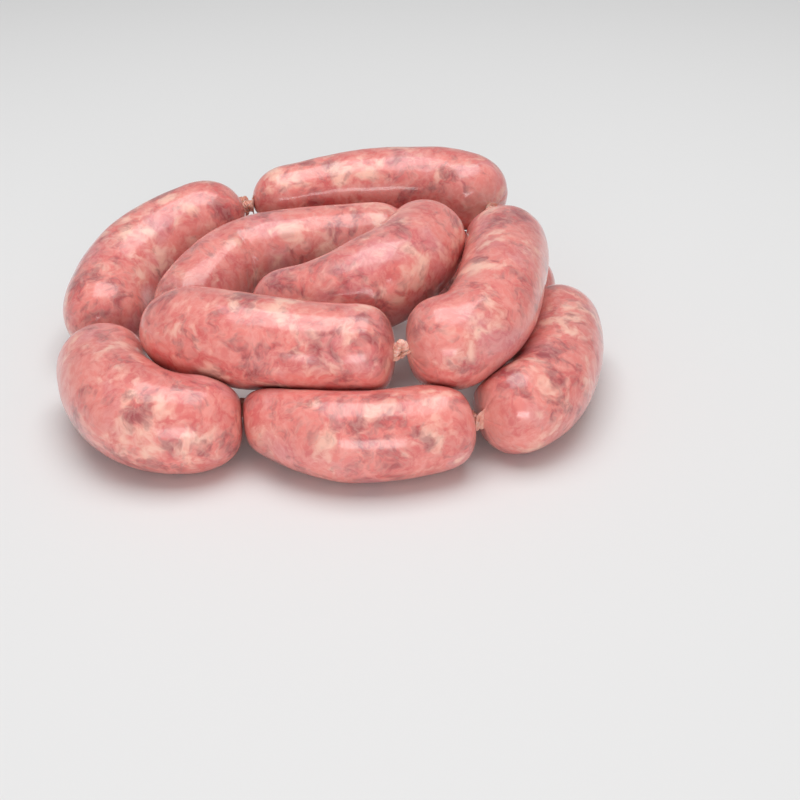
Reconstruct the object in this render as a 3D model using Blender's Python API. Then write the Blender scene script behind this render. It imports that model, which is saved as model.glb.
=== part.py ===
"""A string of fresh pork sausage links, heaped in a rising coil on a flat surface.

Ten links are twisted from one run of casing. They follow one another from the lower ring, which
lies on the ground, up to the upper ring, which lies in its grooves. Each link is a plump tube of
meat around a curved spine, narrowed to a neck at both ends. Where two links press together, each
gives way and their skins meet in a soft flat; where a link lies on the ground, it is flat too.
Between two links the empty casing is a thin twisted neck, and a short tail ends the string.

Metres, +Z up. The origin is at the centre of the heap's footprint, on the ground.
"""

from dataclasses import dataclass
import math

import bpy
import bmesh
import numpy as np

MM = 0.001

# Driving dimensions, in metres
SKIN_GAP = 0.6 * MM        # clear gap between two links that press together
NECK_RADIUS = 2.4 * MM     # a link's end, where its casing is drawn together
TWIST_GAP = 0.3 * MM       # clear gap between a link's end and the twisted casing after it
TWIST_WAIST = 1.7 * MM     # radius of the twisted casing at its thinnest
TAIL_LENGTH = 8.0 * MM     # empty casing past the first and the last link
TAIL_TIP_RADIUS = 1.1 * MM
TWIST_EASE = 0.45          # how far a twist runs straight out of a link before it turns
SHORT_TWIST = 20.0 * MM    # a twist shorter than this keeps its cross-sections nearly square
SHOULDER_SET_BACK = 1.0 * MM   # how far behind its neck the front of a blunt end lies
SHOULDER_BALLS = 16        # balls that round off the rim of a blunt end

# Fineness of the solids
SIDES = 18                 # corners of a link's cross-section
DOME_STEPS = 5             # rings over each rounded end
BODY_STEPS = 9             # spaces between the rings along the body
TWIST_SIDES = 8
TWIST_STEPS = 7
SPINE_SAMPLES = 81


@dataclass(frozen=True)
class Link:
    """A filled link. Its spine runs from neck to neck, in millimetres.

    girth holds its diameter near the first neck, at its middle and near the last neck. blunt
    says how far each end's rounded rim stands off the spine, as a share of the radius there; at
    0 the end is a plain dome.
    """

    name: str
    spine: tuple
    girth: tuple
    colour: tuple
    blunt: tuple = (0.0, 0.0)


# The links in the order of the string, from the one under the heap to the one on top of it
LINKS = (
    Link("link_01", ((-42, 66, 16), (-8, 70, 16), (31, 57, 16), (62, 26, 16)),
         (33, 34, 33), (0.56, 0.24, 0.21)),
    Link("link_02", ((63, 18, 16.5), (64, -4, 16.5), (58, -36, 16.5), (46, -59, 16.5), (29, -69, 16.5)),
         (34, 35, 35), (0.60, 0.25, 0.22), (0.0, 0.3)),
    Link("link_03", ((25, -69, 16.5), (2, -77, 15.5), (-29, -75, 15.5), (-54, -56, 14.5)),
         (32, 34, 28), (0.60, 0.24, 0.23), (0.4, 0.0)),
    Link("link_04", ((-58, -57, 15), (-70, -69, 15.5), (-82, -70.5, 17), (-107, -43, 17.5), (-115, -16, 17)),
         (36, 38, 36), (0.53, 0.20, 0.20), (0.0, 0.2)),
    Link("link_05", ((-116, -6, 18), (-118.5, 26, 21), (-101, 58, 31), (-67, 71, 41)),
         (36, 39, 36), (0.53, 0.20, 0.20)),
    Link("link_06", ((-63, 71, 41.5), (-30, 81, 44.5), (8, 83, 45), (30, 75, 45.5), (39, 58, 43)),
         (28, 35, 35), (0.60, 0.26, 0.24), (0.0, 0.2)),
    Link("link_07", ((43, 34, 43), (43, 14, 43), (38, -21, 43), (23.5, -50.5, 38), (3, -57, 37.5)),
         (35, 34, 36), (0.62, 0.29, 0.25), (0.2, 0.35)),
    Link("link_08", ((-1, -57, 37), (-32, -52, 35), (-67, -42, 36), (-90, -22, 28)),
         (35, 36, 35), (0.60, 0.23, 0.22), (0.4, 0.0)),
    Link("link_09", ((-88, -12, 22), (-78, 6, 30), (-62, 29, 35), (-34, 38, 36), (8, 42, 38)),
         (33, 34, 33), (0.56, 0.22, 0.21)),
    Link("link_10", ((17, 31, 47), (8, 9, 46), (-8, -13, 43), (-30, -17, 38), (-55, -11, 33)),
         (35, 38, 28), (0.60, 0.25, 0.23), (0.2, 0.0)),
)

# How far the middle of a twist sags away from its straight way, in millimetres
TWIST_SAG = {"twist_03": (0, 2, 0), "twist_07": (0, -1.5, 1)}

CASING_COLOUR = (0.72, 0.45, 0.36)
LINK_ROUGHNESS = 0.32
CASING_ROUGHNESS = 0.28


def smooth_path(points, count):
    """Return count points, evenly spaced along a natural cubic spline through the given points."""
    knots = np.asarray(points, dtype=float)
    chord = np.r_[0.0, np.cumsum(np.linalg.norm(np.diff(knots, axis=0), axis=1))]
    step = np.diff(chord)
    size = len(knots)
    system = np.eye(size)
    bend = np.zeros_like(knots)
    for i in range(1, size - 1):
        system[i, i - 1:i + 2] = step[i - 1], 2.0 * (step[i - 1] + step[i]), step[i]
        bend[i] = 6.0 * ((knots[i + 1] - knots[i]) / step[i] - (knots[i] - knots[i - 1]) / step[i - 1])
    second = np.linalg.solve(system, bend)

    fine = np.linspace(0.0, chord[-1], 8 * count)
    span = np.clip(np.searchsorted(chord, fine, side="right") - 1, 0, size - 2)
    width = step[span][:, None]
    after = (fine - chord[span])[:, None] / width
    before = 1.0 - after
    curve = (before * knots[span] + after * knots[span + 1]
             + width ** 2 / 6.0 * ((before ** 3 - before) * second[span]
                                   + (after ** 3 - after) * second[span + 1]))

    travelled = np.r_[0.0, np.cumsum(np.linalg.norm(np.diff(curve, axis=0), axis=1))]
    even = np.linspace(0.0, travelled[-1], count)
    return np.column_stack([np.interp(even, travelled, curve[:, axis]) for axis in range(3)])


class Body:
    """The round shape of one link, before its neighbours and the ground press on it."""

    def __init__(self, link):
        self.link = link
        self.path = smooth_path(np.array(link.spine) * MM, SPINE_SAMPLES)
        self.length = float(np.linalg.norm(np.diff(self.path, axis=0), axis=1).sum())
        self.travel = np.linspace(0.0, self.length, SPINE_SAMPLES)
        self.radius = self.radius_at(self.travel)
        to_nearest_neck = np.minimum(self.travel, self.length - self.travel)
        self.ball = np.minimum(self.radius, to_nearest_neck)
        rims = [self.rim(0.0, 1.0, link.blunt[0]), self.rim(self.length, -1.0, link.blunt[1])]
        self.centres = np.concatenate([self.path, *(centres for centres, _ in rims)])
        self.reaches = np.concatenate([self.ball, *(reaches for _, reaches in rims)])

    def radius_at(self, travel):
        """Return the link's free radius at a distance along its spine."""
        first, middle, last = (0.5 * diameter * MM for diameter in self.link.girth)
        quarter = 0.2 * self.length
        at = (quarter, 0.5 * self.length, self.length - quarter)
        return np.interp(travel, at, (first, middle, last))

    def point_at(self, travel):
        """Return the spine's point at a distance along it."""
        return np.array([np.interp(travel, self.travel, self.path[:, axis]) for axis in range(3)])

    def heading_at(self, travel):
        """Return the spine's unit direction at a distance along it."""
        reach = 0.02 * self.length
        ahead = self.point_at(min(travel + reach, self.length))
        behind = self.point_at(max(travel - reach, 0.0))
        return (ahead - behind) / np.linalg.norm(ahead - behind)

    def rim(self, neck, inward, blunt):
        """Return the centres and radii of the balls that round off the rim of a blunt end."""
        if blunt == 0.0:
            return np.zeros((0, 3)), np.zeros(0)
        radius = float(self.radius_at(neck))
        ball = (1.0 - blunt) * radius
        travel = neck + inward * (SHOULDER_SET_BACK + ball)
        spread = blunt * radius * cross_directions(self.heading_at(travel), SHOULDER_BALLS)
        return self.point_at(travel) + spread, np.full(SHOULDER_BALLS, ball)

    def outside(self, points):
        """Return how far each point lies outside the round shape; negative inside it."""
        distance = np.linalg.norm(points[..., None, :] - self.centres, axis=-1)
        return (distance - self.reaches).min(axis=-1)

    def stations(self):
        """Return the distances along the spine at which the link's rings lie."""
        first, last = self.radius_at(0.0), self.radius_at(self.length)
        ends = []
        for dome in (first, last):
            start = math.asin(NECK_RADIUS / dome)
            angles = np.linspace(start, 0.5 * math.pi, DOME_STEPS)
            ends.append(dome * (1.0 - np.cos(angles)))
        body = np.linspace(ends[0][-1], self.length - ends[1][-1], BODY_STEPS + 1)
        return np.r_[ends[0][:-1], body, (self.length - ends[1][:-1])[::-1]]


def cross_directions(heading, sides):
    """Return unit directions around a heading, with an edge, not a corner, facing down."""
    across = np.cross(heading, (0.0, 0.0, 1.0))
    across /= np.linalg.norm(across)
    upward = np.cross(across, heading)
    turn = (np.arange(sides) + 0.5) * 2.0 * math.pi / sides - 0.5 * math.pi
    return np.cos(turn)[:, None] * across + np.sin(turn)[:, None] * upward


def pressed_rings(body, others):
    """Return the rings of one link's skin, pressed flat by its neighbours and the ground.

    A point belongs to the link when it is no further outside it than outside any other link,
    less the gap, and when it is above the ground.
    """
    stations = body.stations()
    centres = np.array([body.point_at(travel) for travel in stations])
    around = np.array([cross_directions(body.heading_at(travel), SIDES) for travel in stations])
    low = np.zeros(around.shape[:2])
    high = np.full(around.shape[:2], 1.3 * max(body.radius))
    for _ in range(22):
        reach = 0.5 * (low + high)
        points = centres[:, None, :] + reach[..., None] * around
        own = body.outside(points)
        excess = np.maximum(own, -points[..., 2])
        for other in others:
            excess = np.maximum(excess, 0.5 * (own - other.outside(points) + SKIN_GAP))
        inside = excess <= 0.0
        low = np.where(inside, reach, low)
        high = np.where(inside, high, reach)
    rings = centres[:, None, :] + low[..., None] * around
    rings[..., 2] = np.maximum(rings[..., 2], 0.0)
    return rings


def twist_rings(path, radii, first_heading, last_heading):
    """Return the rings of a thin round neck of casing along a path.

    Its first and last rings face the given headings, square to the links that they meet. Between
    them the rings of a long neck follow its path, and those of a short one turn steadily.
    """
    along = np.linspace(0.0, 1.0, len(path))[:, None]
    steady = (1.0 - along) * first_heading + along * last_heading
    following = np.gradient(path, axis=0)
    following /= np.linalg.norm(following, axis=1)[:, None]
    headings = steady if np.linalg.norm(path[-1] - path[0]) < SHORT_TWIST else following
    headings[0] = first_heading
    headings[-1] = last_heading
    headings /= np.linalg.norm(headings, axis=1)[:, None]
    around = np.array([cross_directions(heading, TWIST_SIDES) for heading in headings])
    return path[:, None, :] + radii[:, None, None] * around


def bridge_path(start, start_heading, end, end_heading, count):
    """Return points of a smooth curve that leaves start and enters end in the given directions."""
    reach = TWIST_EASE * np.linalg.norm(end - start)
    along = np.linspace(0.0, 1.0, count)[:, None]
    return ((2 * along ** 3 - 3 * along ** 2 + 1) * start
            + (along ** 3 - 2 * along ** 2 + along) * reach * start_heading
            + (3 * along ** 2 - 2 * along ** 3) * end
            + (along ** 3 - along ** 2) * reach * end_heading)


def neck_between(before, after, sag):
    """Return the rings of the twisted casing between two links, its middle moved by sag."""
    leaving = before.heading_at(before.length)
    entering = after.heading_at(0.0)
    start = before.path[-1] + TWIST_GAP * leaving
    end = after.path[0] - TWIST_GAP * entering
    path = bridge_path(start, leaving, end, entering, TWIST_STEPS + 1)
    along = np.linspace(-1.0, 1.0, len(path))
    path += (1.0 - along ** 2)[:, None] * np.array(sag) * MM
    radii = TWIST_WAIST + (NECK_RADIUS - TWIST_WAIST) * along ** 2
    return twist_rings(path, radii, leaving, entering)


def tail_from(start, heading):
    """Return the rings of the empty tail of casing at one end of the string."""
    along = np.linspace(0.0, 1.0, TWIST_STEPS + 1)
    path = start + heading * (TWIST_GAP + TAIL_LENGTH * along[:, None])
    radii = NECK_RADIUS + (TAIL_TIP_RADIUS - NECK_RADIUS) * along
    return twist_rings(path, radii, heading, heading)


def make_material(name, colour, roughness):
    """Return a moist, non-metallic material of one colour."""
    material = bpy.data.materials.new(name)
    material.use_nodes = True
    shader = material.node_tree.nodes["Principled BSDF"]
    shader.inputs["Base Color"].default_value = (*colour, 1.0)
    shader.inputs["Roughness"].default_value = roughness
    shader.inputs["Metallic"].default_value = 0.0
    material.diffuse_color = (*colour, 1.0)
    return material


def make_closed_tube(name, rings, material):
    """Make an object whose skin joins the rings in turn and closes both ends with a flat cap."""
    mesh = bpy.data.meshes.new(name)
    work = bmesh.new()
    loops = [[work.verts.new(point) for point in ring] for ring in rings]
    for this, following in zip(loops, loops[1:]):
        for i, corner in enumerate(this):
            j = (i + 1) % len(this)
            work.faces.new((corner, this[j], following[j], following[i]))
    caps = [work.faces.new(loops[0][::-1]), work.faces.new(loops[-1])]
    bmesh.ops.recalc_face_normals(work, faces=work.faces)
    bmesh.ops.triangulate(work, faces=[face for face in work.faces if face not in caps])
    work.to_mesh(mesh)
    work.free()
    mesh.shade_smooth()
    mesh.set_sharp_from_angle(angle=math.radians(50.0))
    mesh.materials.append(material)
    made = bpy.data.objects.new(name, mesh)
    bpy.context.scene.collection.objects.link(made)
    return made


def stand_on_origin(rings_by_name):
    """Shift all rings so that the heap's footprint is centred on the origin. Return the shift."""
    corners = np.concatenate([rings.reshape(-1, 3) for rings in rings_by_name.values()])
    middle = 0.5 * (corners.min(axis=0) + corners.max(axis=0))
    shift = np.array((-middle[0], -middle[1], 0.0))
    for rings in rings_by_name.values():
        rings += shift
    return shift


def build_string():
    """Build every link, twist and tail of the string. Return the shift that centred the heap."""
    for leftover in list(bpy.data.objects):
        bpy.data.objects.remove(leftover)

    bodies = [Body(link) for link in LINKS]
    links = {}
    for body in bodies:
        others = [other for other in bodies if other is not body]
        links[body.link.name] = pressed_rings(body, others)

    casing = {}
    for number, (before, after) in enumerate(zip(bodies, bodies[1:]), start=1):
        name = f"twist_{number:02d}"
        casing[name] = neck_between(before, after, TWIST_SAG.get(name, (0, 0, 0)))
    first, last = bodies[0], bodies[-1]
    casing["tail_first"] = tail_from(first.path[0], -first.heading_at(0.0))
    casing["tail_last"] = tail_from(last.path[-1], last.heading_at(last.length))

    shift = stand_on_origin({**links, **casing})
    for link in LINKS:
        skin = make_material(f"{link.name}_skin", link.colour, LINK_ROUGHNESS)
        make_closed_tube(link.name, links[link.name], skin)
    for name, rings in casing.items():
        make_closed_tube(name, rings, make_material(f"{name}_casing", CASING_COLOUR, CASING_ROUGHNESS))
    return shift


if __name__ == "__main__":
    build_string()
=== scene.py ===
"""Looks of a heaped string of fresh pork sausage links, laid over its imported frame.

Every filled link of the frame is measured - its spine from neck to neck and how far its skin lies
from that spine all round - and is then skinned again, finely: plump and uneven, with the casing
gathered in pleats at both necks. Between the links the empty casing is a twisted, beaded cord.
Lengths are in metres and the frame's own: +Z up, the heap's footprint centred on the origin.
"""

import logging
import math
from dataclasses import dataclass, field
from enum import Enum

import bmesh
import bpy
import numpy as np
from mathutils import Matrix, Vector, noise
from mathutils.bvhtree import BVHTree

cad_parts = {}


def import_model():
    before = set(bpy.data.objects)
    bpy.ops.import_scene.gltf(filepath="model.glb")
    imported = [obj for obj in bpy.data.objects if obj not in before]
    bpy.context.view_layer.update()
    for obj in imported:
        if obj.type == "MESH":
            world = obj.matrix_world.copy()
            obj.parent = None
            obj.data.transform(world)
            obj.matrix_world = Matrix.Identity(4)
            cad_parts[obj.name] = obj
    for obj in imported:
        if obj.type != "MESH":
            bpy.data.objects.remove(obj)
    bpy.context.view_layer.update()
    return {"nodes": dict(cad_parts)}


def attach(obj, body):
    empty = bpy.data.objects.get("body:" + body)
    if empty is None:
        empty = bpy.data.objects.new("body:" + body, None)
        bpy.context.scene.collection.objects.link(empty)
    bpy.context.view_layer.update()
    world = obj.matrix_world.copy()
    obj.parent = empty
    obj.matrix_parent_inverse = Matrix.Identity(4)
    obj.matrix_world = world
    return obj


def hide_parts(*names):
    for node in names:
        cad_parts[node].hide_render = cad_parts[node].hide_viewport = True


log = logging.getLogger("sausage_links")

MM = 0.001
BODY = "root"
UP = np.array((0.0, 0.0, 1.0))
TYPICAL_RADIUS = 17.0 * MM


# ---------------------------------------------------------------------------------------------
# Shader maths
# ---------------------------------------------------------------------------------------------


class Signal:
    """One output of a node, which adds and multiplies as a number does."""

    def __init__(self, board: "Board", socket: bpy.types.NodeSocket) -> None:
        """Wrap a socket.

        Args:
            board: The board that the socket's node stands on.
            socket: The output to wrap.
        """
        self.board = board
        self.socket = socket

    def _maths(self, operation: str, first: object, second: object = 0.0) -> "Signal":
        """Return the result of a Math node on two values or signals."""
        return self.board.node("ShaderNodeMath", {"operation": operation}, {0: first, 1: second})

    def __add__(self, other: object) -> "Signal":
        """Return this signal plus another."""
        return self._maths("ADD", self, other)

    __radd__ = __add__

    def __sub__(self, other: object) -> "Signal":
        """Return this signal minus another."""
        return self._maths("SUBTRACT", self, other)

    def __rsub__(self, other: object) -> "Signal":
        """Return another value minus this signal."""
        return self._maths("SUBTRACT", other, self)

    def __mul__(self, other: object) -> "Signal":
        """Return this signal times another."""
        return self._maths("MULTIPLY", self, other)

    __rmul__ = __mul__

    def cosine(self) -> "Signal":
        """Return the cosine of this signal, an angle in radians."""
        return self._maths("COSINE", self)

    def decay(self, length: object) -> "Signal":
        """Return how far this distance has faded: 1 at 0, and less by e for each length."""
        return self._maths("EXPONENT", self._maths("DIVIDE", self, length) * -1.0)

    def rise(self, low: float, high: float) -> "Signal":
        """Return 0 below low, 1 above high, and a smooth rise between them."""
        return self.board.node(
            "ShaderNodeMapRange",
            {"interpolation_type": "SMOOTHSTEP", "clamp": True},
            {"Value": self, "From Min": low, "From Max": high},
            "Result",
        )


class Board:
    """A node tree, with one method that places a node of any kind."""

    def __init__(self, tree: bpy.types.NodeTree) -> None:
        """Start on an empty tree.

        Args:
            tree: The tree to place nodes in.
        """
        self.tree = tree
        tree.nodes.clear()

    def node(
        self, kind: str, settings: dict | None = None, inputs: dict | None = None, output: object = 0
    ) -> Signal:
        """Place a node, set it up and feed it.

        Args:
            kind: The node's type.
            settings: Its properties, set first.
            inputs: A value or a signal for each input, by name or number.
            output: The name or number of the output to return.

        Returns:
            The chosen output; None if the node has none.
        """
        made = self.tree.nodes.new(kind)
        for key, value in (settings or {}).items():
            setattr(made, key, value)
        for key, value in (inputs or {}).items():
            if isinstance(value, Signal):
                self.tree.links.new(value.socket, made.inputs[key])
            else:
                made.inputs[key].default_value = value
        return Signal(self, made.outputs[output]) if len(made.outputs) else None


class ShaderBoard(Board):
    """A material's node tree."""

    def __init__(self, name: str) -> None:
        """Make a material and start on its tree.

        Args:
            name: The material's name.
        """
        self.material = bpy.data.materials.new(name)
        self.material.use_nodes = True
        super().__init__(self.material.node_tree)

    def mix(self, factor: object, first: object, second: object) -> Signal:
        """Return a mix of two colours.

        Args:
            factor: The share of the second colour.
            first: A colour or a signal.
            second: A colour or a signal.
        """
        first = first if isinstance(first, Signal) else (*first, 1.0)
        second = second if isinstance(second, Signal) else (*second, 1.0)
        settings = {"data_type": "RGBA", "clamp_factor": True}
        return self.node("ShaderNodeMix", settings, {0: factor, 6: first, 7: second}, 2)

    def place(self, seed: float) -> Signal:
        """Return the place on the object, turned and moved by a seed so that each piece differs."""
        inputs = {
            "Vector": self.node("ShaderNodeTexCoord", output="Object"),
            "Location": (0.37 * seed, 0.61 * seed, 0.23 * seed),
            "Rotation": (0.8 * seed, 0.5 * seed, 1.3 * seed),
        }
        return self.node("ShaderNodeMapping", {"vector_type": "POINT"}, inputs)

    def moved(self, place: Signal, by: tuple) -> Signal:
        """Return a place moved by a fixed step."""
        return self.node("ShaderNodeVectorMath", {"operation": "ADD"}, {0: place, 1: by})

    def noise(self, place: Signal, scale: float, detail: float = 2.0, roughness: float = 0.5) -> Signal:
        """Return soft noise between 0 and 1; scale is in waves per metre."""
        inputs = {"Vector": place, "Scale": scale, "Detail": detail, "Roughness": roughness}
        return self.node("ShaderNodeTexNoise", {"noise_dimensions": "3D"}, inputs, "Fac")

    def warped(self, place: Signal, scale: float, reach: float) -> Signal:
        """Return the place pushed about by noise, up to a reach in metres."""
        push = self.node("ShaderNodeTexNoise", {}, {"Vector": place, "Scale": scale}, "Color")
        centred = self.node(
            "ShaderNodeVectorMath", {"operation": "SUBTRACT"}, {0: push, 1: (0.5, 0.5, 0.5)}
        )
        inputs = {0: centred, "Scale": 2.0 * reach}
        scaled = self.node("ShaderNodeVectorMath", {"operation": "SCALE"}, inputs)
        return self.node("ShaderNodeVectorMath", {"operation": "ADD"}, {0: place, 1: scaled})

    def bump(self, height: Signal, strength: float, distance: float) -> Signal:
        """Return the surface direction over a height."""
        inputs = {"Strength": strength, "Distance": distance, "Height": height}
        return self.node("ShaderNodeBump", {}, inputs, "Normal")

    def finish(self, inputs: dict) -> bpy.types.Material:
        """Feed the surface shader and return the material."""
        surface = self.node("ShaderNodeBsdfPrincipled", {}, inputs, "BSDF")
        self.node("ShaderNodeOutputMaterial", {}, {"Surface": surface})
        return self.material


# ---------------------------------------------------------------------------------------------
# Finishes
# ---------------------------------------------------------------------------------------------


def hue(red: int, green: int, blue: int) -> tuple[float, float, float]:
    """Return the linear colour of an sRGB colour given in steps of 0 to 255."""
    linear = []
    for step in (red, green, blue):
        share = step / 255.0
        linear.append(share / 12.92 if share <= 0.04045 else ((share + 0.055) / 1.055) ** 2.4)
    return tuple(linear)


@dataclass(frozen=True)
class FilledCasing:
    """Raw pork under a thin moist casing: pink meat with cream fat and dark lean showing through."""

    name: str
    seed: float
    meat: tuple = hue(227, 131, 123)
    deep: tuple = hue(206, 94, 92)
    lean: tuple = hue(144, 54, 64)
    mauve: tuple = hue(200, 126, 136)
    fat: tuple = hue(246, 198, 178)
    fattiness: float = 0.0
    leanness: float = 0.0

    def build(self) -> bpy.types.Material:
        """Build the material."""
        board = ShaderBoard(self.name)
        place = board.place(self.seed)
        soft = board.warped(place, 70.0, 0.005)
        cut = board.warped(soft, 240.0, 0.0018)
        fibre = board.noise(cut, 380.0, 4.0, 0.65)

        broad_fat = board.noise(soft, 52.0, 2.0, 0.5)
        small_fat = board.noise(board.moved(cut, (3.1, 1.7, 0.4)), 135.0, 2.0, 0.5)
        fat = (broad_fat * 0.5 + small_fat * 0.5 + fibre * 0.10 + self.fattiness).rise(0.56, 0.72)
        broad_lean = board.noise(board.moved(soft, (0.9, 4.2, 2.5)), 60.0, 2.0, 0.5)
        small_lean = board.noise(board.moved(cut, (5.3, 0.8, 6.1)), 155.0, 3.0, 0.6)
        lean = (broad_lean * 0.45 + small_lean * 0.55 + fibre * 0.16 + self.leanness).rise(0.57, 0.73)
        bluish = board.noise(board.moved(soft, (7.7, 2.9, 1.3)), 48.0, 2.0, 0.5).rise(0.50, 0.70)
        ruddy = board.noise(board.moved(cut, (1.1, 8.4, 3.6)), 90.0, 3.0, 0.55).rise(0.42, 0.66)

        colour = board.mix(ruddy * 0.85, self.meat, self.deep)
        colour = board.mix(bluish * 0.45, colour, self.mauve)
        colour = board.mix(fat * 0.80, colour, self.fat)
        colour = board.mix(lean * 0.80, colour, self.lean)
        grain = fibre.rise(0.38, 0.62)
        colour = board.mix(grain * 0.20, colour, hue(247, 205, 190))
        gathered = board.node("ShaderNodeAttribute", {"attribute_name": "gathered"}, output="Fac")
        colour = board.mix(gathered * 0.5, colour, hue(224, 165, 156))

        roughness = board.noise(place, 110.0, 3.0) * 0.22 + 0.22 + fat * 0.05
        height = fat * 0.35 + fibre * 0.35 + board.noise(place, 700.0, 2.0) * 0.12
        return board.finish(
            {
                "Base Color": colour,
                "Roughness": roughness,
                "Normal": board.bump(height, 0.20, 0.0006),
                "IOR": 1.42,
                "Subsurface Weight": 0.15,
                "Subsurface Scale": 0.003,
                "Subsurface Radius": (1.0, 0.35, 0.25),
                "Coat Weight": board.noise(place, 85.0, 2.0).rise(0.25, 0.65) * 0.4 + 0.5,
                "Coat Roughness": 0.13,
                "Coat IOR": 1.45,
            }
        )


@dataclass(frozen=True)
class EmptyCasing:
    """Empty casing twisted tight: pale, damp and half see-through."""

    name: str
    pale: tuple
    dark: tuple
    seed: float = 2.0

    def build(self) -> bpy.types.Material:
        """Build the material."""
        board = ShaderBoard(self.name)
        place = board.place(self.seed)
        mottle = board.noise(place, 420.0, 3.0, 0.6)
        return board.finish(
            {
                "Base Color": board.mix(mottle.rise(0.35, 0.65), self.pale, self.dark),
                "Roughness": mottle * 0.2 + 0.25,
                "Normal": board.bump(board.noise(place, 1400.0, 3.0), 0.3, 0.0003),
                "Subsurface Weight": 0.2,
                "Subsurface Scale": 0.002,
                "Coat Weight": 0.4,
                "Coat Roughness": 0.15,
            }
        )


@dataclass(frozen=True)
class FloorPaint:
    """Plain pale matt paint."""

    name: str = "floor_paint"
    shade: float = 0.74

    def build(self) -> bpy.types.Material:
        """Build the material."""
        board = ShaderBoard(self.name)
        return board.finish({"Base Color": (self.shade, self.shade, self.shade, 1.0), "Roughness": 0.7})


# ---------------------------------------------------------------------------------------------
# Measuring the frame
# ---------------------------------------------------------------------------------------------


def merged_copy(node: bpy.types.Object) -> bmesh.types.BMesh:
    """Return a working copy of a frame node's mesh with its loose triangles joined."""
    work = bmesh.new()
    work.from_mesh(node.data)
    bmesh.ops.remove_doubles(work, verts=work.verts, dist=2e-6)
    return work


def points_of(node: bpy.types.Object) -> np.ndarray:
    """Return the corner points of a frame node's mesh."""
    flat = np.zeros(3 * len(node.data.vertices), np.float32)
    node.data.vertices.foreach_get("co", flat)
    return flat.reshape(-1, 3).astype(float)


def surface_tree(node: bpy.types.Object) -> BVHTree:
    """Return a frame node's surface, ready to be searched."""
    points = [vertex.co.copy() for vertex in node.data.vertices]
    return BVHTree.FromPolygons(points, [tuple(face.vertices) for face in node.data.polygons])


def eased(values: np.ndarray, spread: float) -> np.ndarray:
    """Return rows smoothed along the first axis; the end rows stay.

    Args:
        values: The rows to smooth.
        spread: The bell curve's width, in rows.
    """
    reach = int(math.ceil(3.0 * spread))
    offsets = np.arange(-reach, reach + 1)
    bell = np.exp(-0.5 * (offsets / spread) ** 2)
    bell /= bell.sum()
    head = 2.0 * values[0] - values[reach:0:-1]
    tail = 2.0 * values[-1] - values[-2 : -reach - 2 : -1]
    padded = np.concatenate([head, values, tail])
    count = len(values)
    return sum(weight * padded[i : i + count] for i, weight in enumerate(bell))


def eased_round(values: np.ndarray, spread: float) -> np.ndarray:
    """Return rows smoothed along the second axis, which closes on itself."""
    reach = int(math.ceil(3.0 * spread))
    offsets = np.arange(-reach, reach + 1)
    bell = np.exp(-0.5 * (offsets / spread) ** 2)
    bell /= bell.sum()
    return sum(weight * np.roll(values, offset, axis=1) for offset, weight in zip(offsets, bell))


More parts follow.
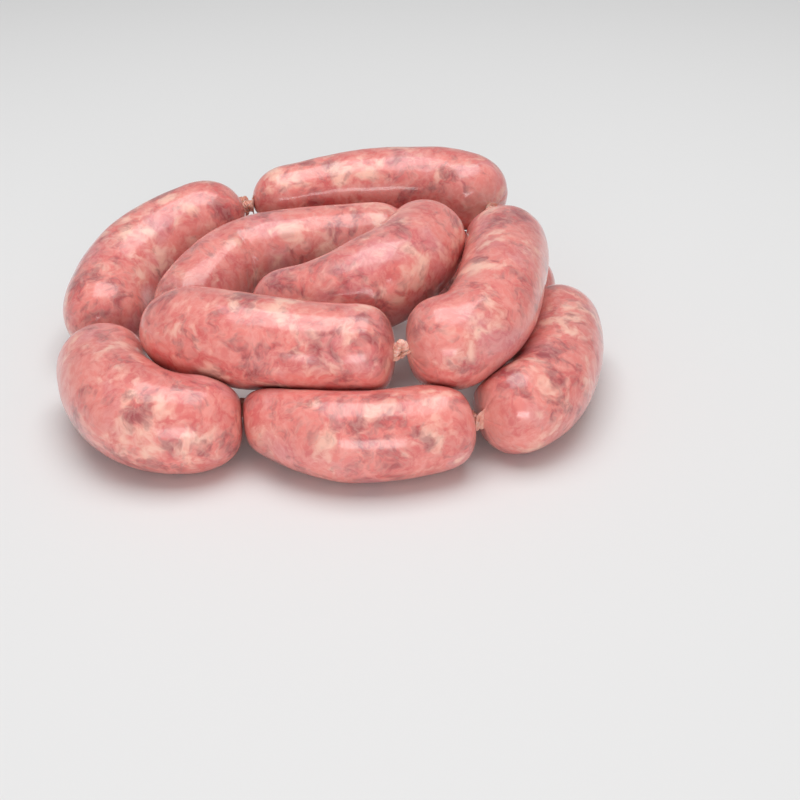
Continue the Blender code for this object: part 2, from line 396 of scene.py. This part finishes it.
class MiddleLine:
    """The middle line of a frame tube, from one end to the other."""

    CAP_REACH = 1.4 * MM

    def __init__(
        self, tube: bpy.types.Object, before: bpy.types.Object, after: bpy.types.Object | None,
        levels: int = 34, count: int = 241, smoothing: float = 16.0,
    ) -> None:
        """Measure the middle line of a frame tube.

        Args:
            tube: The tube's node.
            before: The node that meets its first end.
            after: The node that meets its last end; None if that end is free.
            levels: How many cross-sections are measured.
            count: How many points the line has.
            smoothing: How far the line is smoothed, in points.
        """
        work = merged_copy(tube)
        points = np.array([vertex.co for vertex in work.verts], float)
        edges = np.array([[end.index for end in edge.verts] for edge in work.edges])
        faces = np.array([[corner.index for corner in face.verts] for face in work.faces])
        work.free()
        first_cap = self._cap(points, points_of(before))
        if after:
            last_cap = self._cap(points, points_of(after))
        else:
            away = np.linalg.norm(points - points[first_cap].mean(axis=0), axis=1)
            last_cap = np.flatnonzero(away > away.max() - self.CAP_REACH)
        share = self._share_along(len(points), edges, first_cap, last_cap)
        chosen = np.quantile(share, np.linspace(0.06, 0.94, levels))
        chosen = chosen[(chosen > 0.001) & (chosen < 0.999)]
        middles = [self._middle(points, faces, share, level) for level in chosen]
        rough = np.array([points[first_cap].mean(axis=0), *middles, points[last_cap].mean(axis=0)])
        self.line = self._even(eased(self._even(rough, count), smoothing), count)
        self.length = float(np.linalg.norm(np.diff(self.line, axis=0), axis=1).sum())
        self.travel = np.linspace(0.0, self.length, count)
        headings = np.gradient(self.line, axis=0)
        self.headings = eased(headings / np.linalg.norm(headings, axis=1)[:, None], 0.75 * smoothing)

    def _cap(self, points: np.ndarray, met: np.ndarray) -> np.ndarray:
        """Return the numbers of the tube's points round the end that meets another node."""
        distance = np.linalg.norm(points[:, None, :] - met[None, :, :], axis=2).min(axis=1)
        return np.flatnonzero(distance < self.CAP_REACH)

    @staticmethod
    def _share_along(count: int, edges: np.ndarray, first: np.ndarray, last: np.ndarray) -> np.ndarray:
        """Return each point's share of the way from the first neck to the last.

        Heat is let in at one neck and out at the other; once it is steady, points that are
        equally warm lie on one cross-section.
        """
        system = np.zeros((count, count))
        system[edges[:, 0], edges[:, 1]] = -1.0
        system[edges[:, 1], edges[:, 0]] = -1.0
        system[np.arange(count), np.arange(count)] = -system.sum(axis=1)
        warmth = np.zeros(count)
        for cap, value in ((first, 0.0), (last, 1.0)):
            system[cap] = 0.0
            system[cap, cap] = 1.0
            warmth[cap] = value
        return np.linalg.solve(system, warmth)

    @staticmethod
    def _middle(points: np.ndarray, faces: np.ndarray, share: np.ndarray, level: float) -> np.ndarray:
        """Return the centre of the cross-section at one level of the share."""
        total = np.zeros(3)
        girth = 0.0
        for face in faces:
            crossing = []
            for start, end in zip(face, np.roll(face, -1)):
                low, high = share[start], share[end]
                if (low < level) != (high < level):
                    step = (points[end] - points[start]) * (level - low) / (high - low)
                    crossing.append(points[start] + step)
            if len(crossing) == 2:
                side = np.linalg.norm(crossing[1] - crossing[0])
                total += side * 0.5 * (crossing[0] + crossing[1])
                girth += side
        return total / girth

    @staticmethod
    def _even(line: np.ndarray, count: int) -> np.ndarray:
        """Return count points evenly spaced along a line."""
        travelled = np.r_[0.0, np.cumsum(np.linalg.norm(np.diff(line, axis=0), axis=1))]
        even = np.linspace(0.0, travelled[-1], count)
        return np.column_stack([np.interp(even, travelled, line[:, axis]) for axis in range(3)])

    def at(self, travel: np.ndarray) -> tuple[np.ndarray, np.ndarray, np.ndarray]:
        """Return the points, and two unit directions across the spine, at distances along it."""
        centres = np.column_stack([np.interp(travel, self.travel, self.line[:, k]) for k in range(3)])
        heading = np.column_stack([np.interp(travel, self.travel, self.headings[:, k]) for k in range(3)])
        heading /= np.linalg.norm(heading, axis=1)[:, None]
        across = np.cross(heading, UP)
        across /= np.linalg.norm(across, axis=1)[:, None]
        return centres, across, np.cross(across, heading)


# ---------------------------------------------------------------------------------------------
# Links
# ---------------------------------------------------------------------------------------------


@dataclass(frozen=True)
class Crease:
    """A short fold across a link: its place along and around it, and its size.

    along is a share of the length; around and lean are in degrees, from the link's right side
    towards its top; the rest are lengths.
    """

    along: float
    around: float
    depth: float
    width: float = 1.2 * MM
    spread: float = 35.0
    lean: float = 0.0


@dataclass(frozen=True)
class Gather:
    """How the casing is gathered at one neck of a link."""

    pleats: int = 11
    depth: float = 0.5 * MM
    reach: float = 7.0 * MM


@dataclass
class LinkSkin:
    """A filled link's fine skin, modelled over its frame node."""

    node: str
    seed: float
    first: Gather = Gather()
    last: Gather = Gather()
    creases: tuple = ()
    fattiness: float = 0.0
    rows: int = 230
    columns: int = 150
    lump: float = 0.45 * MM
    clearance: float = 0.12 * MM
    spine: MiddleLine = field(init=False)
    travel: np.ndarray = field(init=False)
    turn: np.ndarray = field(init=False)
    grid: np.ndarray = field(init=False)
    gathered: np.ndarray = field(init=False)

    def measure(self, nodes: dict, before: str, after: str) -> None:
        """Measure the frame link and lay out the fine skin's points.

        Args:
            nodes: The frame's nodes by name.
            before: The name of the casing at the first neck.
            after: The name of the casing at the last neck.
        """
        self.spine = MiddleLine(nodes[self.node], nodes[before], nodes[after])
        skin = surface_tree(nodes[self.node])
        swing = np.linspace(0.0, math.pi, self.rows)
        share = 0.5 - 0.5 * np.cos(swing)
        share = 0.85 * share + 0.15 * swing / math.pi
        edge = 0.05 * MM
        self.travel = edge + share * (self.spine.length - 2.0 * edge)
        centres, across, upward = self.spine.at(self.travel)
        self.turn = np.arange(self.columns) * 2.0 * math.pi / self.columns
        outward = (
            np.cos(self.turn)[None, :, None] * across[:, None, :]
            + np.sin(self.turn)[None, :, None] * upward[:, None, :]
        )
        reach = np.zeros((self.rows, self.columns))
        for row in range(self.rows):
            centre = Vector(centres[row])
            for column in range(self.columns):
                hit = skin.ray_cast(centre, Vector(outward[row, column]), 0.06)
                reach[row, column] = hit[3] if hit[0] is not None else np.nan
        reach = self._mended(reach)
        reach = eased_round(eased(reach, 5.5), 5.5)
        reach += self._relief(centres, outward, reach)
        self.grid = centres[:, None, :] + np.maximum(reach, 0.6 * MM)[..., None] * outward
        self.gathered = self._gathering()

    @staticmethod
    def _mended(reach: np.ndarray) -> np.ndarray:
        """Return the distances with each missing one taken from its row."""
        for row in reach:
            missing = np.isnan(row)
            if missing.all():
                continue
            row[missing] = np.median(row[~missing])
        for row in range(len(reach)):
            if np.isnan(reach[row]).any():
                reach[row] = reach[max(row - 1, 0)]
        return reach

    def _relief(self, centres: np.ndarray, outward: np.ndarray, reach: np.ndarray) -> np.ndarray:
        """Return how far the skin stands proud of, or below, the smooth shape."""
        relief = np.zeros_like(reach)
        shift = Vector((self.seed, 2.0 * self.seed, -self.seed))
        for row in range(self.rows):
            for column in range(self.columns):
                point = Vector(centres[row] + reach[row, column] * outward[row, column])
                broad = noise.noise(point * 55.0 + shift)
                fine = noise.noise(point * 150.0 - shift)
                relief[row, column] = self.lump * (0.65 * broad + 0.25 * fine - 0.35)
        relief += self._pleats(self.travel, self.first, 1.0)
        relief += self._pleats(self.spine.length - self.travel, self.last, 2.0)
        for crease in self.creases:
            relief -= self._fold(crease)
        return relief

    def _pleats(self, from_neck: np.ndarray, gather: Gather, seed: float) -> np.ndarray:
        """Return the pleats' height at one neck for every point.

        Args:
            from_neck: Each row's distance from the neck along the spine.
            gather: How the casing is gathered there.
            seed: A number that sets the two necks apart.
        """
        wander = np.array([
            noise.noise(Vector((math.cos(angle), math.sin(angle), seed + self.seed)) * 1.7)
            for angle in self.turn
        ])
        strength = np.array([
            0.6 + 0.8 * noise.noise(Vector((math.cos(angle), math.sin(angle), seed - self.seed)) * 2.3)
            for angle in self.turn
        ])
        surface_reach = np.sqrt(np.maximum(2.0 * TYPICAL_RADIUS * from_neck, 0.0))
        fade = np.exp(-(surface_reach / gather.reach) ** 2)
        phase = gather.pleats * self.turn + 5.0 * wander
        fold = 1.0 - np.abs(np.sin(0.5 * phase)) ** 0.7
        return -gather.depth * fade[:, None] * (strength * fold)[None, :]

    def _fold(self, crease: Crease) -> np.ndarray:
        """Return a crease's depth for every point."""
        off = (np.degrees(self.turn) - crease.around + 180.0) % 360.0 - 180.0
        lean = math.tan(math.radians(crease.lean)) * np.radians(off) * TYPICAL_RADIUS
        away = (self.travel[:, None] - crease.along * self.spine.length - lean[None, :]) / crease.width
        fade = np.exp(-(off / crease.spread) ** 2)
        return crease.depth * np.exp(-(away ** 2)) * fade[None, :]

    def _gathering(self) -> np.ndarray:
        """Return how strongly the casing is gathered at every point, from 0 to 1."""
        total = np.zeros(self.rows)
        for from_neck, gather in ((self.travel, self.first), (self.spine.length - self.travel, self.last)):
            surface_reach = np.sqrt(2.0 * TYPICAL_RADIUS * from_neck)
            total += np.exp(-(surface_reach / (0.7 * gather.reach)) ** 2)
        return np.repeat(np.clip(total, 0.0, 1.0)[:, None], self.columns, axis=1)

    def keep_clear(self, neighbours: list[BVHTree]) -> None:
        """Push the skin back wherever it comes too close to a neighbour or the ground."""
        for tree in neighbours:
            for row in range(self.rows):
                for column in range(self.columns):
                    point = Vector(self.grid[row, column])
                    near, normal, _, _ = tree.find_nearest(point, 2.0 * MM)
                    if near is None:
                        continue
                    height = (point - near).dot(normal)
                    if height < self.clearance:
                        self.grid[row, column] = point + normal * (self.clearance - height)
        self.grid[..., 2] = np.maximum(self.grid[..., 2], 0.0)

    def build(self, material: bpy.types.Material) -> bpy.types.Object:
        """Make the skin's object and dress it."""
        rows, columns = self.rows, self.columns
        points = self.grid.reshape(-1, 3)
        ends = np.array([self.grid[0].mean(axis=0), self.grid[-1].mean(axis=0)])
        points = np.concatenate([points, ends])
        row, column = np.meshgrid(np.arange(rows - 1), np.arange(columns), indexing="ij")
        following = (column + 1) % columns
        quads = np.stack(
            [row * columns + column, row * columns + following,
             (row + 1) * columns + following, (row + 1) * columns + column], axis=-1
        ).reshape(-1, 4)
        first_pole, last_pole = len(points) - 2, len(points) - 1
        last_row = (rows - 1) * columns
        faces = [tuple(quad) for quad in quads.tolist()]
        for i in range(columns):
            j = (i + 1) % columns
            faces.append((first_pole, j, i))
            faces.append((last_pole, last_row + i, last_row + j))
        mesh = bpy.data.meshes.new(self.node + "_skin")
        mesh.from_pydata(points.tolist(), [], faces)
        gathered = mesh.attributes.new("gathered", "FLOAT", "POINT")
        gathered.data.foreach_set("value", np.r_[self.gathered.reshape(-1), 1.0, 1.0].astype(np.float32))
        mesh.materials.append(material)
        face_outwards(mesh)
        mesh.shade_smooth()
        made = bpy.data.objects.new(self.node + "_skin", mesh)
        bpy.context.scene.collection.objects.link(made)
        return made


def face_outwards(mesh: bpy.types.Mesh) -> None:
    """Turn a closed mesh's faces outwards."""
    work = bmesh.new()
    work.from_mesh(mesh)
    bmesh.ops.recalc_face_normals(work, faces=work.faces)
    if work.calc_volume(signed=True) < 0.0:
        bmesh.ops.reverse_faces(work, faces=work.faces)
    work.to_mesh(mesh)
    work.free()


# ---------------------------------------------------------------------------------------------
# Twisted casing
# ---------------------------------------------------------------------------------------------


class Run(Enum):
    """Where a length of empty casing lies."""

    BETWEEN = "between two links"
    LOOSE = "a loose tail"


@dataclass
class TwistRope:
    """Empty casing twisted to a beaded cord, which flares out over the links that it joins."""

    node: str
    run: Run = Run.BETWEEN
    waist: float = 1.35 * MM
    flare: float = 3.6 * MM
    flare_reach: float = 0.9 * MM
    turns: float = 2.0
    beads: float = 5.0
    slack: tuple = (0.0, 0.0, 0.0)
    sink: float = 0.7 * MM

    def path(self, nodes: dict, before: str, after: str | None) -> np.ndarray:
        """Return the cord's middle line, run a little way into the links that it joins."""
        ends = (nodes[before], nodes[after] if after else None)
        line = MiddleLine(nodes[self.node], *ends, levels=8, count=41, smoothing=2.0).line
        leave = (line[1] - line[0]) / np.linalg.norm(line[1] - line[0])
        arrive = (line[-1] - line[-2]) / np.linalg.norm(line[-1] - line[-2])
        inner = line[-1] + (self.sink * arrive if after else 0.0)
        line = np.concatenate([[line[0] - self.sink * leave], line, [inner]])
        bulge = np.sin(np.linspace(0.0, math.pi, len(line)))[:, None]
        return line + bulge * np.array(self.slack)

    def shape(self, length: float, material: bpy.types.Material) -> bpy.types.NodeTree:
        """Return the node group that sweeps the cord along its path.

        Args:
            length: The path's length.
            material: The cord's finish.
        """
        group = bpy.data.node_groups.new(self.node + "_sweep", "GeometryNodeTree")
        board = Board(group)
        for name, kind, way in (
            ("Path", "NodeSocketGeometry", "INPUT"),
            ("Waist", "NodeSocketFloat", "INPUT"),
            ("Flare", "NodeSocketFloat", "INPUT"),
            ("Turns", "NodeSocketFloat", "INPUT"),
            ("Cord", "NodeSocketGeometry", "OUTPUT"),
        ):
            group.interface.new_socket(name, in_out=way, socket_type=kind)
        given = board.node("NodeGroupInput", output="Path")
        waist, flare, turns = (Signal(board, given.socket.node.outputs[k]) for k in (1, 2, 3))
        curve = board.node("GeometryNodeMeshToCurve", {}, {"Mesh": given})
        steps = max(40, int(length / (0.12 * MM)))
        curve = board.node("GeometryNodeResampleCurve", {}, {"Curve": curve, "Count": steps})
        along = board.node("GeometryNodeSplineParameter", output="Factor")
        near_start = (along * length).decay(self.flare_reach)
        near_end = ((1.0 - along) * length).decay(self.flare_reach)
        opened = near_start + near_end if self.run is Run.BETWEEN else near_start
        bead = (along * (2.0 * math.pi * self.beads)).cosine() * 0.14 + 1.0
        radius = waist * bead + (flare - waist) * opened
        if self.run is Run.LOOSE:
            radius = radius * (1.0 - along * 0.45)
        tilt = along * turns * (2.0 * math.pi)
        curve = board.node("GeometryNodeSetCurveTilt", {}, {"Curve": curve, "Tilt": tilt})
        ring = board.node("GeometryNodeCurvePrimitiveCircle", {}, {"Resolution": 40, "Radius": 1.0}, "Curve")
        order = board.node("GeometryNodeInputIndex")
        lobes = (order * (2.0 * math.pi * 5.0 / 40.0)).cosine() * 0.13
        pleats = (order * (2.0 * math.pi * 11.0 / 40.0)).cosine() * 0.05
        place = board.node("GeometryNodeInputPosition")
        inputs = {0: place, "Scale": lobes + pleats + 0.92}
        lobed = board.node("ShaderNodeVectorMath", {"operation": "SCALE"}, inputs)
        ring = board.node("GeometryNodeSetPosition", {}, {"Geometry": ring, "Position": lobed})
        inputs = {"Curve": curve, "Profile Curve": ring, "Scale": radius, "Fill Caps": True}
        mesh = board.node("GeometryNodeCurveToMesh", {}, inputs)
        rough = board.node(
            "ShaderNodeTexNoise", {},
            {"Vector": board.node("GeometryNodeInputPosition"), "Scale": 700.0, "Detail": 2.0}, "Fac",
        )
        outwards = board.node("GeometryNodeInputNormal")
        inputs = {0: outwards, "Scale": (rough - 0.5) * (0.5 * MM)}
        push = board.node("ShaderNodeVectorMath", {"operation": "SCALE"}, inputs)
        mesh = board.node("GeometryNodeSetPosition", {}, {"Geometry": mesh, "Offset": push})
        mesh = board.node("GeometryNodeRealizeInstances", {}, {"Geometry": mesh})
        mesh = board.node("GeometryNodeSetMaterial", {}, {"Geometry": mesh, "Material": material})
        board.node("NodeGroupOutput", {}, {"Cord": mesh})
        return group

    def build(
        self, nodes: dict, before: str, after: str | None, material: bpy.types.Material
    ) -> bpy.types.Object:
        """Sweep the cord and return it as a plain mesh object.

        Args:
            nodes: The frame's nodes by name.
            before: The name of the link at its first end.
            after: The name of the link at its last end; None for a loose tail.
            material: The cord's finish.
        """
        path = self.path(nodes, before, after)
        length = float(np.linalg.norm(np.diff(path, axis=0), axis=1).sum())
        wire = bpy.data.meshes.new(self.node + "_path")
        wire.from_pydata(path.tolist(), [(i, i + 1) for i in range(len(path) - 1)], [])
        carrier = bpy.data.objects.new(self.node + "_path", wire)
        bpy.context.scene.collection.objects.link(carrier)
        sweep = carrier.modifiers.new("sweep", "NODES")
        group = self.shape(length, material)
        sweep.node_group = group
        sizes = {"Waist": self.waist, "Flare": self.flare, "Turns": self.turns}
        for item in group.interface.items_tree:
            if item.name in sizes:
                sweep[item.identifier] = sizes[item.name]
        bpy.context.view_layer.update()
        swept = carrier.evaluated_get(bpy.context.evaluated_depsgraph_get())
        mesh = bpy.data.meshes.new_from_object(swept)
        mesh.name = self.node + "_cord"
        bpy.data.objects.remove(carrier)
        work = bmesh.new()
        work.from_mesh(mesh)
        bmesh.ops.remove_doubles(work, verts=work.verts, dist=1e-6)
        for vertex in work.verts:
            vertex.co.z = max(vertex.co.z, 0.0)
        work.to_mesh(mesh)
        work.free()
        face_outwards(mesh)
        mesh.shade_smooth()
        made = bpy.data.objects.new(self.node + "_cord", mesh)
        bpy.context.scene.collection.objects.link(made)
        return made


# ---------------------------------------------------------------------------------------------
# Studio
# ---------------------------------------------------------------------------------------------


@dataclass
class Studio:
    """A pale floor, soft white lamps and the camera."""

    floor_size: float = 6.0
    lens: float = 54.0
    sensor: float = 36.0
    surround: float = 0.38
    camera_place: tuple = (0.02847, -0.43052, 0.2380)
    camera_dip: float = 30.83
    camera_roll: float = -0.78

    def build_floor(self) -> bpy.types.Object:
        """Lay the pale floor that the heap rests on."""
        mesh = bpy.data.meshes.new("floor")
        half = 0.5 * self.floor_size
        drop = -0.0002
        corners = [(-half, -half, drop), (half, -half, drop), (half, half, drop), (-half, half, drop)]
        mesh.from_pydata(corners, [], [(0, 1, 2, 3)])
        mesh.materials.append(FloorPaint().build())
        floor = bpy.data.objects.new("floor", mesh)
        bpy.context.scene.collection.objects.link(floor)
        return floor

    def build_lamp(self, name: str, place: tuple, aim: tuple, size: tuple, power: float) -> None:
        """Hang one white area lamp.

        Args:
            name: The lamp's name.
            place: Where it hangs.
            aim: The point that it faces.
            size: Its width and height.
            power: Its power in watts.
        """
        light = bpy.data.lights.new(name, "AREA")
        light.shape = "RECTANGLE"
        light.size, light.size_y = size
        light.energy = power
        lamp = bpy.data.objects.new(name, light)
        lamp.location = place
        lamp.rotation_euler = (Vector(aim) - Vector(place)).to_track_quat("-Z", "Y").to_euler()
        bpy.context.scene.collection.objects.link(lamp)

    def build_lights(self) -> None:
        """Light the heap from above and from the front, with white all round."""
        world = bpy.data.worlds.new("studio_white")
        world.use_nodes = True
        background = world.node_tree.nodes["Background"]
        background.inputs["Color"].default_value = (1.0, 1.0, 1.0, 1.0)
        background.inputs["Strength"].default_value = self.surround
        bpy.context.scene.world = world
        aim = (0.0, 0.0, 0.03)
        self.build_lamp("overhead_lamp", (0.0, 0.10, 1.3), aim, (1.2, 1.0), 13.8)
        self.build_lamp("front_lamp", (0.05, -1.5, 0.28), aim, (1.1, 0.5), 10.0)

    def build_camera(self) -> None:
        """Set up the camera, looking down at the heap from the front."""
        data = bpy.data.cameras.new("camera")
        data.lens = self.lens
        data.sensor_width = self.sensor
        data.clip_start = 0.01
        camera = bpy.data.objects.new("camera", data)
        dip = Matrix.Rotation(math.radians(90.0 - self.camera_dip), 4, "X")
        roll = Matrix.Rotation(math.radians(self.camera_roll), 4, "Z")
        camera.matrix_world = Matrix.Translation(self.camera_place) @ dip @ roll
        bpy.context.scene.collection.objects.link(camera)
        bpy.context.scene.camera = camera

    def build(self) -> None:
        """Build the floor, the lights and the camera."""
        self.build_floor()
        self.build_lights()
        self.build_camera()
        bpy.context.scene.view_settings.view_transform = "Standard"


# ---------------------------------------------------------------------------------------------
# The string
# ---------------------------------------------------------------------------------------------

LINKS = (
    LinkSkin("link_01", 1.3),
    LinkSkin("link_02", 2.7, last=Gather(13, 1.3 * MM, 14.0 * MM)),
    LinkSkin("link_03", 3.9),
    LinkSkin("link_04", 5.1),
    LinkSkin("link_05", 6.4),
    LinkSkin("link_06", 7.2, last=Gather(12, 1.1 * MM, 13.0 * MM)),
    LinkSkin("link_07", 8.6, last=Gather(14, 1.3 * MM, 14.0 * MM)),
    LinkSkin("link_08", 9.9),
    LinkSkin(
        "link_09",
        11.2,
        creases=(
            Crease(0.355, 28.0, 1.7 * MM, 1.7 * MM, 40.0, 8.0),
            Crease(0.290, 4.0, 1.0 * MM, 1.5 * MM, 24.0, 20.0),
            Crease(0.385, 34.0, 0.4 * MM, 0.7 * MM, 16.0, -15.0),
            Crease(0.405, 40.0, 0.4 * MM, 0.7 * MM, 14.0, -25.0),
            Crease(0.335, 44.0, 0.4 * MM, 0.6 * MM, 18.0, 10.0),
        ),
    ),
    LinkSkin("link_10", 12.5, creases=(Crease(0.537, 156.0, 0.9 * MM, 2.0 * MM, 8.0),)),
)
CASINGS = (
    TwistRope("tail_first", Run.LOOSE, flare=2.6 * MM),
    TwistRope("twist_01"),
    TwistRope("twist_02", waist=1.2 * MM, flare=4.2 * MM, slack=(0.0, -0.6 * MM, 0.0)),
    TwistRope("twist_03"),
    TwistRope("twist_04"),
    TwistRope("twist_05", waist=1.0 * MM, flare=4.6 * MM, flare_reach=1.1 * MM, slack=(0.0, 0.0, 0.4 * MM)),
    TwistRope("twist_06", waist=1.7 * MM, turns=5.0, beads=7.0),
    TwistRope("twist_07", waist=1.25 * MM, turns=4.0, beads=6.0, slack=(0.0, -2.4 * MM, 4.0 * MM)),
    TwistRope("twist_08"),
    TwistRope("twist_09", turns=3.0),
    TwistRope("tail_last", Run.LOOSE, flare=2.6 * MM),
)


def hand_over(piece: bpy.types.Object, node: str) -> None:
    """Let a finished piece stand for its frame node, and log it."""
    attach(piece, BODY)
    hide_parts(node)
    log.info("%s: %d faces", piece.name, len(piece.data.polygons))


def main() -> None:
    """Build every piece over the frame and report it."""
    logging.basicConfig(level=logging.INFO, format="%(name)s: %(message)s")
    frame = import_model()
    nodes = frame["nodes"]
    Studio().build()
    trees = {link.node: surface_tree(nodes[link.node]) for link in LINKS}
    for number, link in enumerate(LINKS):
        link.measure(nodes, CASINGS[number].node, CASINGS[number + 1].node)
        link.keep_clear([tree for name, tree in trees.items() if name != link.node])
        finish = FilledCasing(f"{link.node}_meat", link.seed, fattiness=link.fattiness)
        piece = link.build(finish.build())
        hand_over(piece, link.node)

    casing = EmptyCasing("twisted_casing", hue(240, 196, 180), hue(226, 160, 142)).build()
    meets = [(LINKS[0].node, None)]
    meets += [(one.node, next_one.node) for one, next_one in zip(LINKS, LINKS[1:])]
    meets += [(LINKS[-1].node, None)]
    for rope, (before, after) in zip(CASINGS, meets):
        hand_over(rope.build(nodes, before, after, casing), rope.node)


if __name__ == "__main__":
    main()
